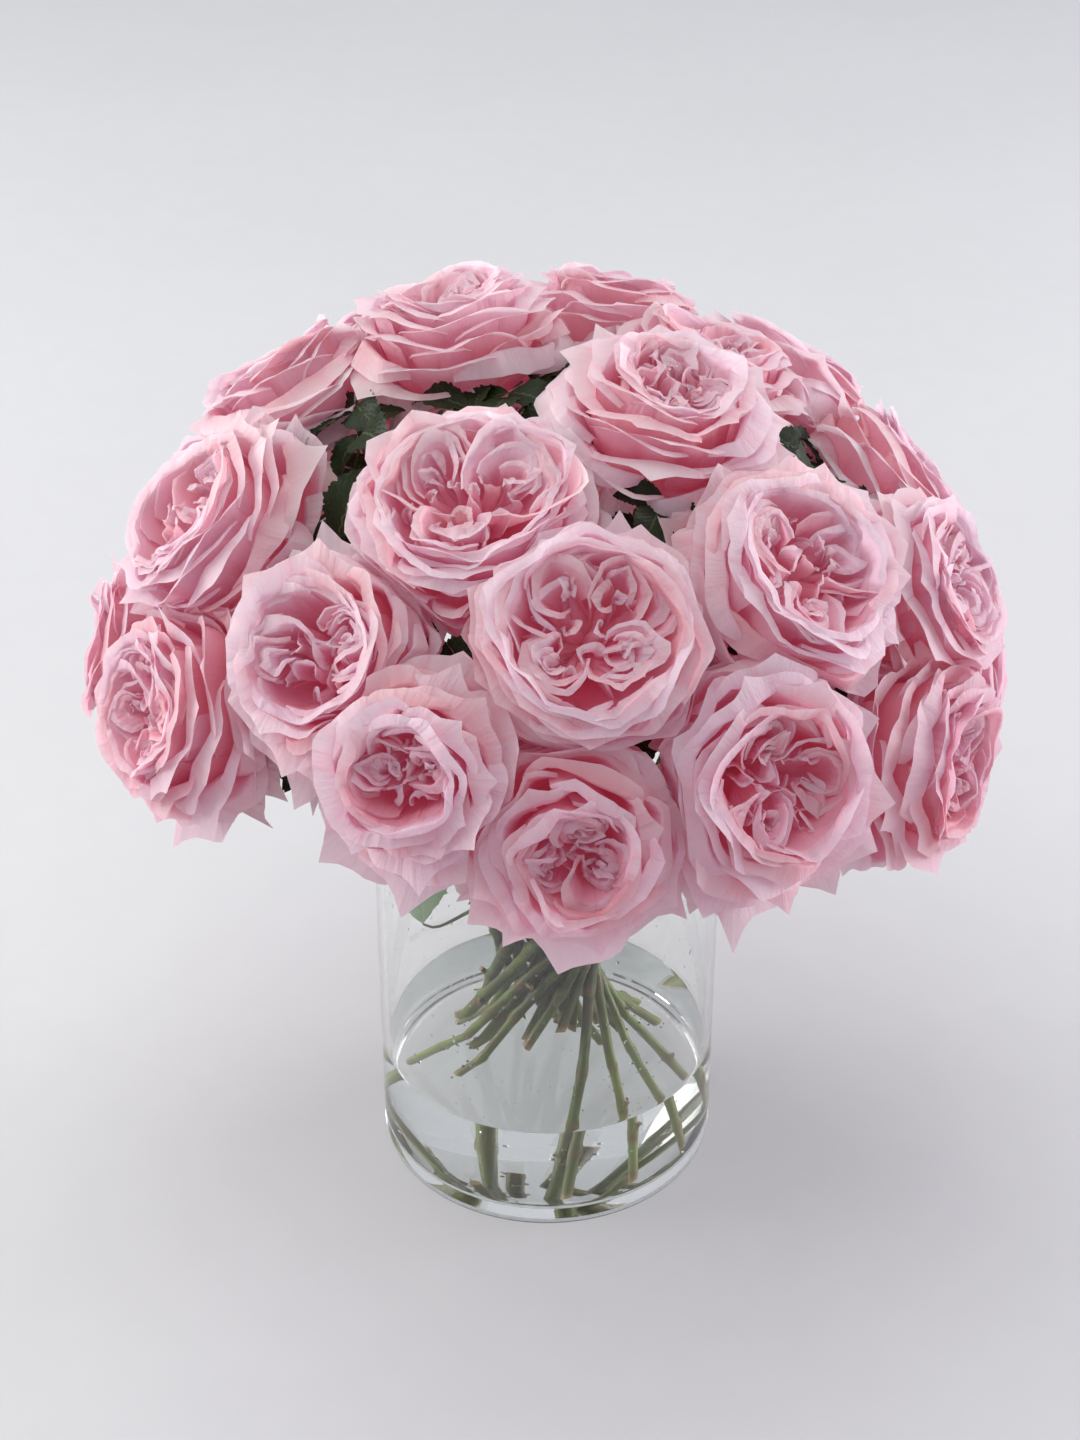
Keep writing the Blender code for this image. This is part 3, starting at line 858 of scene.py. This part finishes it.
def make_stem(rose, finish):
    """One rose stem, with its nodes, leaf scars, thorns and cut end."""
    rng = np.random.default_rng(2000 + rose.number)
    shape = Shape()
    line = smooth_curve(rose.line, STEM_STEP)
    build, shade = rng.uniform(0.62, 0.88), rng.uniform(0.0, 0.6)
    path, radius = line[:, :3], line[:, 3] * build
    lengths = np.concatenate([[0], np.cumsum(norm(np.diff(path, axis=0), axis=1))])
    total = lengths[-1]
    joints = [rng.uniform(0.012, 0.035)]
    while joints[-1] < total - BARE_TOP:
        joints.append(joints[-1] + rng.uniform(*JOINT_GAPS))
    sways = [STEM_KINK * rng.uniform(0.5, 1.2) * (-1) ** k for k in range(len(joints))]
    kink_way = turned(*square_to(unit(path[-1] - path[0])), rng.uniform(0, TAU))
    fade = ease(np.minimum(1, (total - lengths) / BARE_TOP))
    path = path + np.outer(np.interp(lengths, joints, sways) * fade, kink_way)
    way, side, up = carried_frames(path)
    angles = ring_angles(STEM_SIDES)
    radii = np.repeat(radius[:, None], STEM_SIDES, axis=1)
    radii = radii + 0.00012 * np.sin(3 * angles + lengths[:, None] * 25 + rng.uniform(0, TAU))
    ragged = rng.uniform(0.2, 1.0) * (1 + 0.5 * np.sin(2 * angles + rng.uniform(0, TAU)))
    brown = np.outer(np.exp(-(lengths / 0.006) ** 2), np.clip(ragged, 0, 1))
    turn = rng.uniform(0, TAU)
    for place in joints:
        past = lengths - place
        facing = np.exp(-(((angles - turn + pi) % TAU - pi) / 0.8) ** 2)
        radii = radii + np.exp(-(past / 0.0026) ** 2)[:, None] * (0.0005 + 0.0011 * facing)
        scar = np.exp(-((past + 0.002) / 0.0018) ** 2)
        brown = np.maximum(brown, np.outer(scar, 0.45 + 0.55 * facing))
        if rng.uniform() < STUB_CHANCE:
            k = int(np.argmin(np.abs(past)))
            outward = turned(side[k], up[k], turn)
            add_stub(shape, path[k] + outward * radius[k] * 0.6, outward, way[k],
                     rng.uniform(0.005, 0.009), 0.0013)
        turn += GOLDEN_TURN
    for _ in range(int(rng.integers(2, 5))):
        k = int(rng.integers(12, len(path) - 14))
        outward = turned(side[k], up[k], rng.uniform(0, TAU))
        add_thorn(shape, path[k] + outward * radius[k] * 0.75, outward, way[k],
                  rng.uniform(0.0025, 0.004))
    cut = np.zeros_like(radii)
    cut[0] = 0.5
    grid = rings_round(path, side, up, radii)
    slant = cos(rose.number) * 0.55
    across = (grid[0] - path[0]) @ square_to(way[0])[0]
    grid[0] = grid[0] + np.outer(across * slant, way[0])
    grid[1] = grid[1] + np.outer(across * slant * 0.5, way[0])
    grid[:3, :, 2] = np.maximum(grid[:3, :, 2], VASE_FLOOR + 0.0002)
    shape.add_grid(grid, closed=True, knot=brown, cut=cut, shade=shade)
    shape.add_cap(grid[0][::-1], grid[0].mean(0), knot=0.0, cut=1.0)
    shape.add_cap(grid[-1], path[-1] + rose.axes[2] * 0.0004, knot=0.0, cut=0.0)
    node = f"rose_stem_{rose.name}"
    shape.build(f"stem_{rose.name}", [finish], slot="stem_green", replaces=[node])


def make_sepals(rose, finish):
    """The green cup under a bloom and its five narrow sepals, turned down along the hip."""
    rng = np.random.default_rng(3000 + rose.number)
    shape = Shape()
    t, s = np.linspace(0, 1, 12)[:, None], np.linspace(-1, 1, 5)[None, :]
    for k in range(SEPALS):
        turn = TAU * k / SEPALS + rng.normal(0, 0.12)
        length, droop = rng.uniform(22, 30), rng.uniform(0.5, 1.5)
        out = 4.5 + 0.55 * length * np.sin(t * (1.2 + 0.5 * droop))
        level = 0.8 - length * 0.55 * t**1.6 * droop
        level = level + 0.25 * length * np.sin(t * 2.2) * (1 - 0.5 * droop)
        half = 3.4 * (1 - t) ** 0.8 * (0.75 + 0.6 * np.sin(np.minimum(t * 3.2, pi))) + 0.15
        x, y = swing(out, half * s, turn)
        grid = np.stack([x, y, level + 0.35 * half * s**2], -1)
        shape.add_grid(set_on(rose, grid), flat=((s + 1) / 2, t))
    shape.add_grid(set_on(rose, turned_grid(HIP_CUP, 16)), closed=True)
    shape.build(f"sepals_{rose.name}", [finish], slot="leaf_green")


# Leaves

def add_leaflet(shape, rng, base, tip, normal, width):
    """One toothed leaflet, folded a little along its rib and waved between its side veins."""
    rows = LEAF_TEETH * 3 + 1
    t, s = np.linspace(0, 1, rows)[:, None], np.linspace(-1, 1, 7)[None, :]
    way = tip - base
    length = norm(way)
    way = way / length
    normal = unit(normal - way * normal.dot(way))
    side = np.cross(way, normal)
    tooth = np.array([0.0, 0.55, 1.0])[np.arange(rows) % 3][:, None]
    half = width / 2 * np.sin(pi * t**0.82) ** 0.85
    half = half * (1 - 0.09 * (1 - tooth)) + 0.0003
    across = s * half
    fold = rng.uniform(0.15, 0.35)
    lift = fold * np.abs(across) + 0.06 * half * np.cos(TAU * (t * 7 - np.abs(s) * 1.6))
    lift = lift + 0.05 * width * np.sin(t * 9 + rng.uniform(0, TAU)) * s**2
    droop = LEAF_BOW * length * (np.sin(pi * t) - 0.6 * t**2)
    twist = rng.normal(0, 0.25) * t
    along = t * length + 0.10 * np.abs(across)
    grid = base + along[..., None] * way
    grid = grid + (across * np.cos(twist))[..., None] * side
    grid = grid + (lift + droop + across * np.sin(twist))[..., None] * normal
    shape.add_grid(grid, flat=((s + 1) / 2, t))


def add_stalk(shape, start, middle, end):
    """A thin leaf stalk on a smooth bend."""
    line = smooth_curve([start, middle, end], 0.004)
    add_tube(shape, line, STALK_RADIUS * np.linspace(1.3, 0.7, len(line)), 7, slot=1)


def leaf_ends(node):
    """A CAD leaf's stalk end, tip, upward side and width."""
    points, _ = welded(node)
    middle = points.mean(0)
    axes = np.linalg.svd(points - middle)[2]
    along = (points - middle) @ axes[0]
    wide = np.abs((points - middle) @ axes[1])
    low, high = along.min(), along.max()
    quarter = (high - low) / 4
    is_low_narrow = wide[along < low + quarter].max() < wide[along > high - quarter].max()
    start, end = (low, high) if is_low_narrow else (high, low)
    up = axes[2] if axes[2][2] > 0 else -axes[2]
    return middle + axes[0] * start, middle + axes[0] * end, up, wide.max() * 2


def nearest(points, place):
    """The one of the points that is nearest to a place."""
    return points[np.argmin(norm(points - place, axis=1))]


def make_frame_leaf(node, roses, finishes):
    """A leaf in place of a CAD leaf: its toothed blade, and its stalk from the nearest stem."""
    rng = np.random.default_rng(4000 + sum(map(ord, node)))
    start, tip, up, width = leaf_ends(node)
    neck = start + (tip - start) * 0.24
    shape = Shape()
    add_leaflet(shape, rng, neck, tip, up, width)
    stems = np.concatenate([smooth_curve(rose.line, STEM_STEP)[:, :3] for rose in roses])
    joint = nearest(stems, start)
    add_stalk(shape, joint, joint * 0.3 + start * 0.5 + neck * 0.2, neck)
    shape.build(node.replace("leaf", "leaf_blade"), finishes, slot="leaf_green", replaces=[node])


def find_gaps(roses, count, apart, depth, lowest):
    """The widest gaps between the blooms over the dome, as points and outward directions."""
    feet = np.array([rose.foot for rose in roses])
    middles = np.array([rose.middle for rose in roses])
    centre = np.array([feet[:, 0].mean(), feet[:, 1].mean(), feet[:, 2].min() + 0.01])
    samples = 1600
    k = np.arange(samples)
    z = 1 - (1 - lowest) * (k + 0.5) / samples
    level = np.sqrt(1 - z * z)
    outward = np.stack([level * np.cos(k * GOLDEN_TURN), level * np.sin(k * GOLDEN_TURN), z], -1)
    offsets = middles - centre
    lengths = norm(offsets, axis=1)
    closeness = outward @ (offsets / lengths[:, None]).T
    weights = np.exp((closeness - 1) * 25)
    reach = (weights * lengths).sum(1) / weights.sum(1)
    points = centre + outward * (reach * depth)[:, None]
    radii = np.array([rose.radius for rose in roses]) * MM
    room = (norm(points[:, None] - middles[None], axis=2) - radii).min(1)
    picked = []
    for best in np.argsort(-room):
        if all(norm(points[best] - points[other]) > apart for other in picked):
            picked.append(best)
        if len(picked) == count:
            break
    return zip(points[picked], outward[picked])


def add_gap_leaf(shape, rng, stems, place, out, size, side_leaflets):
    """One dark leaf whose stalk comes from the nearest stem."""
    joint = nearest(stems, place)
    lie = turned(*square_to(out), rng.uniform(0, TAU))
    length = size * rng.uniform(0.85, 1.15)
    width = length * rng.uniform(0.58, 0.72)
    base = place - lie * length * 0.45 - out * 0.004
    add_leaflet(shape, rng, base, place + lie * length * 0.5 + out * 0.003, out, width)
    add_stalk(shape, joint, (joint + base) / 2 - out * 0.006, base)
    for hand in side_leaflets:
        sideways = np.cross(out, lie) * hand
        low = base - lie * 0.004
        low_tip = low + (sideways * 0.8 + lie * 0.25 - out * 0.2) * length * 0.8
        add_leaflet(shape, rng, low, low_tip, out, width * 0.75)


def make_gap_leaves(roses, finishes):
    """Dark leaves in the gaps between the blooms, and plainer ones in their shade below."""
    rng = np.random.default_rng(5000)
    stems = np.concatenate([rose.line[6:-2, :3] for rose in roses])
    number = 0
    upper = dict(count=26, apart=0.032, depth=0.89, lowest=0.08)
    lower = dict(count=44, apart=0.024, depth=0.74, lowest=-0.10)
    for gaps, size, side_leaflets in ((upper, 0.034, (-1, 1)), (lower, 0.041, ())):
        for place, out in find_gaps(roses, **gaps):
            number += 1
            shape = Shape()
            add_gap_leaf(shape, rng, stems, place, out, size, side_leaflets)
            shape.build(f"gap_leaf_{number:02d}", finishes, slot="leaf_green")


# Vase and water

def arc(centre, radius, start, end, steps):
    """Points of a round corner, angles in degrees."""
    angles = np.radians(np.linspace(start, end, steps + 1))
    return [(centre[0] + radius * cos(a), centre[1] + radius * sin(a)) for a in angles]


def wall_heights(start, end, steps):
    """Even levels up a wall, with one more near each end so that the shine turns there crisply."""
    close = copysign(CRISP, end - start)
    return [start + close, *np.linspace(start, end, steps)[1:-1], end - close]


def bowl(radius, floor):
    """The profile of a slightly dished floor and the round corner at its wall."""
    flat = radius - INNER_CORNER
    shares = (0.0, *np.linspace(0.1, 0.92, 8), 0.995)
    return [(flat * s, floor - FLOOR_DIP * (1 - s * s)) for s in shares] \
        + arc((flat, floor + INNER_CORNER), INNER_CORNER, -90, 0, 8)


def build_turned(profile, name, finish, slot, node):
    """A body turned about the Z axis from a profile whose ends lie on the axis."""
    shape = Shape()
    grid = turned_grid(profile[1:-1], VASE_SEGMENTS)
    shape.add_grid(grid, closed=True)
    shape.add_cap(grid[0][::-1], (0.0, 0.0, profile[0][1]))
    shape.add_cap(grid[-1], (0.0, 0.0, profile[-1][1]))
    obj = shape.build(name, [finish], slot=slot, replaces=[node])
    bm = bmesh.new()
    bm.from_mesh(obj.data)
    bmesh.ops.remove_doubles(bm, verts=bm.verts, dist=1e-6)
    bmesh.ops.recalc_face_normals(bm, faces=bm.faces)
    bm.to_mesh(obj.data)
    bm.free()


def make_vase(finish):
    """The glass: thick foot pushed up a little underneath, straight wall, polished rim."""
    radius, height = VASE_RADIUS, VASE_HEIGHT
    inner = radius - VASE_WALL
    lip = VASE_WALL / 2
    rest = radius - FOOT_ROUND * 2.2
    profile = [(0, PUSH_UP)]
    profile += [(rest * s, PUSH_UP * (1 - s**4)) for s in np.linspace(0.15, 1, 8)]
    profile += arc((radius - FOOT_ROUND, FOOT_ROUND), FOOT_ROUND, -90, 0, 10)
    profile += [(radius, z) for z in wall_heights(FOOT_ROUND, height - lip, 12)]
    profile += arc((radius - lip, height - lip), lip, 0, 180, 10)
    profile += [(inner, z) for z in wall_heights(height - lip, VASE_FLOOR + INNER_CORNER, 14)]
    profile += bowl(inner, VASE_FLOOR)[::-1]
    build_turned(profile, "glass_cylinder", finish, "clear_glass", "vase")


def make_water(finish):
    """The water, which climbs a little up the glass at its edge."""
    radius = VASE_RADIUS - VASE_WALL + WATER_OVERLAP
    bottom = VASE_FLOOR - WATER_OVERLAP
    edge = WATER_LEVEL + MENISCUS
    profile = bowl(radius, bottom)
    profile += [(radius, z) for z in (*wall_heights(bottom + INNER_CORNER, edge, 8), edge)]
    profile.append((radius - CRISP * 0.3, WATER_LEVEL + MENISCUS * 0.95))
    profile += [(radius - MENISCUS_REACH * s, WATER_LEVEL + MENISCUS * (1 - s) ** 2.4)
                for s in np.linspace(0.0, 1.0, 10)[1:]]
    profile += [((radius - MENISCUS_REACH) * s, WATER_LEVEL) for s in np.linspace(0.95, 0.08, 10)]
    profile += [(0, WATER_LEVEL)]
    build_turned(profile, "water_body", finish, "water", "water")


def add_drop(shape, place, outward, down, size, flat, drawn):
    """A small drop on a surface. Flat is its height by its size, and drawn how far it hangs."""
    side = unit(np.cross(outward, down))
    rings, angles = 4, ring_angles(8)
    sag = np.where(np.cos(angles) > 0, 1 + 0.3 * drawn * np.cos(angles), 1.0)
    grid = []
    for k in range(rings):
        rise = pi / 2 * k / rings
        r = size * cos(rise)
        row = place + np.outer(r * np.cos(angles) * sag, down) + np.outer(r * np.sin(angles), side)
        grid.append(row + outward * size * flat * sin(rise))
    shape.add_grid(np.array(grid), closed=True)
    shape.add_cap(grid[-1], place + outward * size * flat)
    shape.add_cap(grid[0][::-1], place)


def make_drops(finish):
    """Drops on the inside of the glass above the water."""
    rng = np.random.default_rng(6000)
    shape = Shape()
    for _ in range(DROPS):
        turn = rng.uniform(0, TAU)
        z = WATER_LEVEL + 0.004 + 0.11 * rng.uniform() ** 1.4
        inward = np.array((-cos(turn), -sin(turn), 0.0))
        place = UP * z - inward * (VASE_RADIUS - VASE_WALL + 0.00002)
        size = rng.uniform(0.0002, 0.0009) * rng.uniform(0.5, 1)
        add_drop(shape, place, inward, -UP, size, 0.55, 1.0)
    shape.build("water_drops", [finish], slot="water")


def make_bubbles(roses, finish):
    """Tiny bubbles of air that cling to the stems under water."""
    rng = np.random.default_rng(7000)
    shape = Shape()
    for rose in roses:
        line = smooth_curve(rose.line[:4], 0.004)
        wet = line[line[:, 2] < WATER_LEVEL - 0.003]
        for _ in range(BUBBLES_A_STEM if len(wet) else 0):
            spot = wet[int(rng.integers(0, len(wet)))]
            turn = rng.uniform(0, TAU)
            outward = np.array((cos(turn), sin(turn), 0.0))
            size = rng.uniform(0.0004, 0.0010)
            place = spot[:3] + outward * (spot[3] + size * 0.4)
            for way in (UP, -UP):
                add_drop(shape, place, way, outward, size, 1.0, 0.0)
    shape.build("air_bubbles", [finish], slot="water")


# Camera, floor and light

def make_camera():
    """Looks down on the bunch from the front."""
    camera = bpy.data.cameras.new("camera")
    camera.lens = CAMERA_LENS
    camera.sensor_fit = "VERTICAL"
    camera.sensor_height = SENSOR_HEIGHT
    camera.clip_start = 0.01
    obj = put_in_scene("camera", camera)
    obj.location = CAMERA_PLACE
    obj.rotation_euler = (radians(90 - CAMERA_PITCH), 0, 0)
    bpy.context.scene.camera = obj


def make_floor(finish):
    """A wide pale floor."""
    steps = np.linspace(-FLOOR_SIZE / 2, FLOOR_SIZE / 2, 9)
    x, y = np.meshgrid(steps, steps)
    shape = Shape()
    shape.add_grid(np.stack([x, y, np.zeros_like(x)], -1))
    shape.build("floor", [finish], body=None)


def add_light(name, place, target_height, size, power, colour):
    """A soft square lamp that points at the vase's axis."""
    lamp = bpy.data.lights.new(name, "AREA")
    lamp.shape = "RECTANGLE"
    lamp.size, lamp.size_y = size
    lamp.energy = power
    lamp.color = colour
    obj = put_in_scene(name, lamp)
    obj.location = place
    way = Vector((0, 0, target_height)) - Vector(place)
    obj.rotation_euler = way.to_track_quat("-Z", "Y").to_euler()


def make_light():
    """Plain soft studio light: a wide lamp overhead, a low one on each side, and a pale room."""
    add_light("key", (-0.7, 0.3, 2.2), 0.25, (2.8, 2.8), 30, (1.0, 1.0, 0.93))
    add_light("left", (-2.0, 0.3, 0.6), 0.1, (1.6, 1.2), 34, (1.0, 1.0, 0.95))
    add_light("right", (2.0, 0.4, 0.6), 0.1, (1.6, 1.2), 37, (0.98, 0.98, 1.0))
    scene = bpy.context.scene
    scene.world = bpy.data.worlds.new("room")
    scene.world.use_nodes = True
    nodes = Nodes(scene.world.node_tree)
    way = nodes.add("TexCoord").outputs["Generated"]
    depth = nodes.part_of(way, "Y")
    strength = nodes.add("MapRange", {"Value": depth, "From Min": -1.0, "From Max": 1.0,
                                      "To Min": FRONT_GLOW, "To Max": BACK_GLOW})
    nodes.set(nodes.tree.nodes["Background"], Color=(0.93, 0.94, 1.0, 1.0),
              Strength=strength.outputs["Result"])
    scene.view_settings.view_transform = "Standard"


def dress():
    """Builds every piece round the frame."""
    make_camera()
    make_mottling_group()
    make_veins_group()
    petal = petal_finish()
    stem = stem_finish()
    # Painted shade: the leaf finish made near-black, over the leaves' own dark green, for the
    # sepals and the leaves among the blooms.
    leaf = leaf_finish("leaf_green", (0.009, 0.015, 0.005), (0.024, 0.040, 0.012), 0.42)
    # Painted light: a lighter, glossier copy of the leaf finish for the leaf in the vase.
    wet_lit_leaf = leaf_finish("wet_lit_leaf_green", (0.16, 0.27, 0.13), (0.26, 0.38, 0.19), 0.2)
    glass = clear_finish("clear_glass", (0.985, 0.995, 0.99), 1.5)
    water = clear_finish("water", (0.985, 0.99, 0.99), 1.33)
    air = clear_finish("air_in_water", (1.0, 1.0, 1.0), 0.75)

    make_floor(floor_finish())
    make_light()

    names = sorted(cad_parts)
    roses = [read_rose(int(name[-2:])) for name in names if name.startswith("rose_stem_")]
    for rose in roses:
        make_stem(rose, stem)
        make_sepals(rose, leaf)
        make_bloom(rose, roses, petal)
    for name in names:
        if name.startswith("leaf_"):
            make_frame_leaf(name, roses, [wet_lit_leaf if name == "leaf_in_vase" else leaf, stem])
    make_gap_leaves(roses, [leaf, stem])
    make_vase(glass)
    make_water(water)
    make_drops(water)
    make_bubbles(roses, air)


dress()
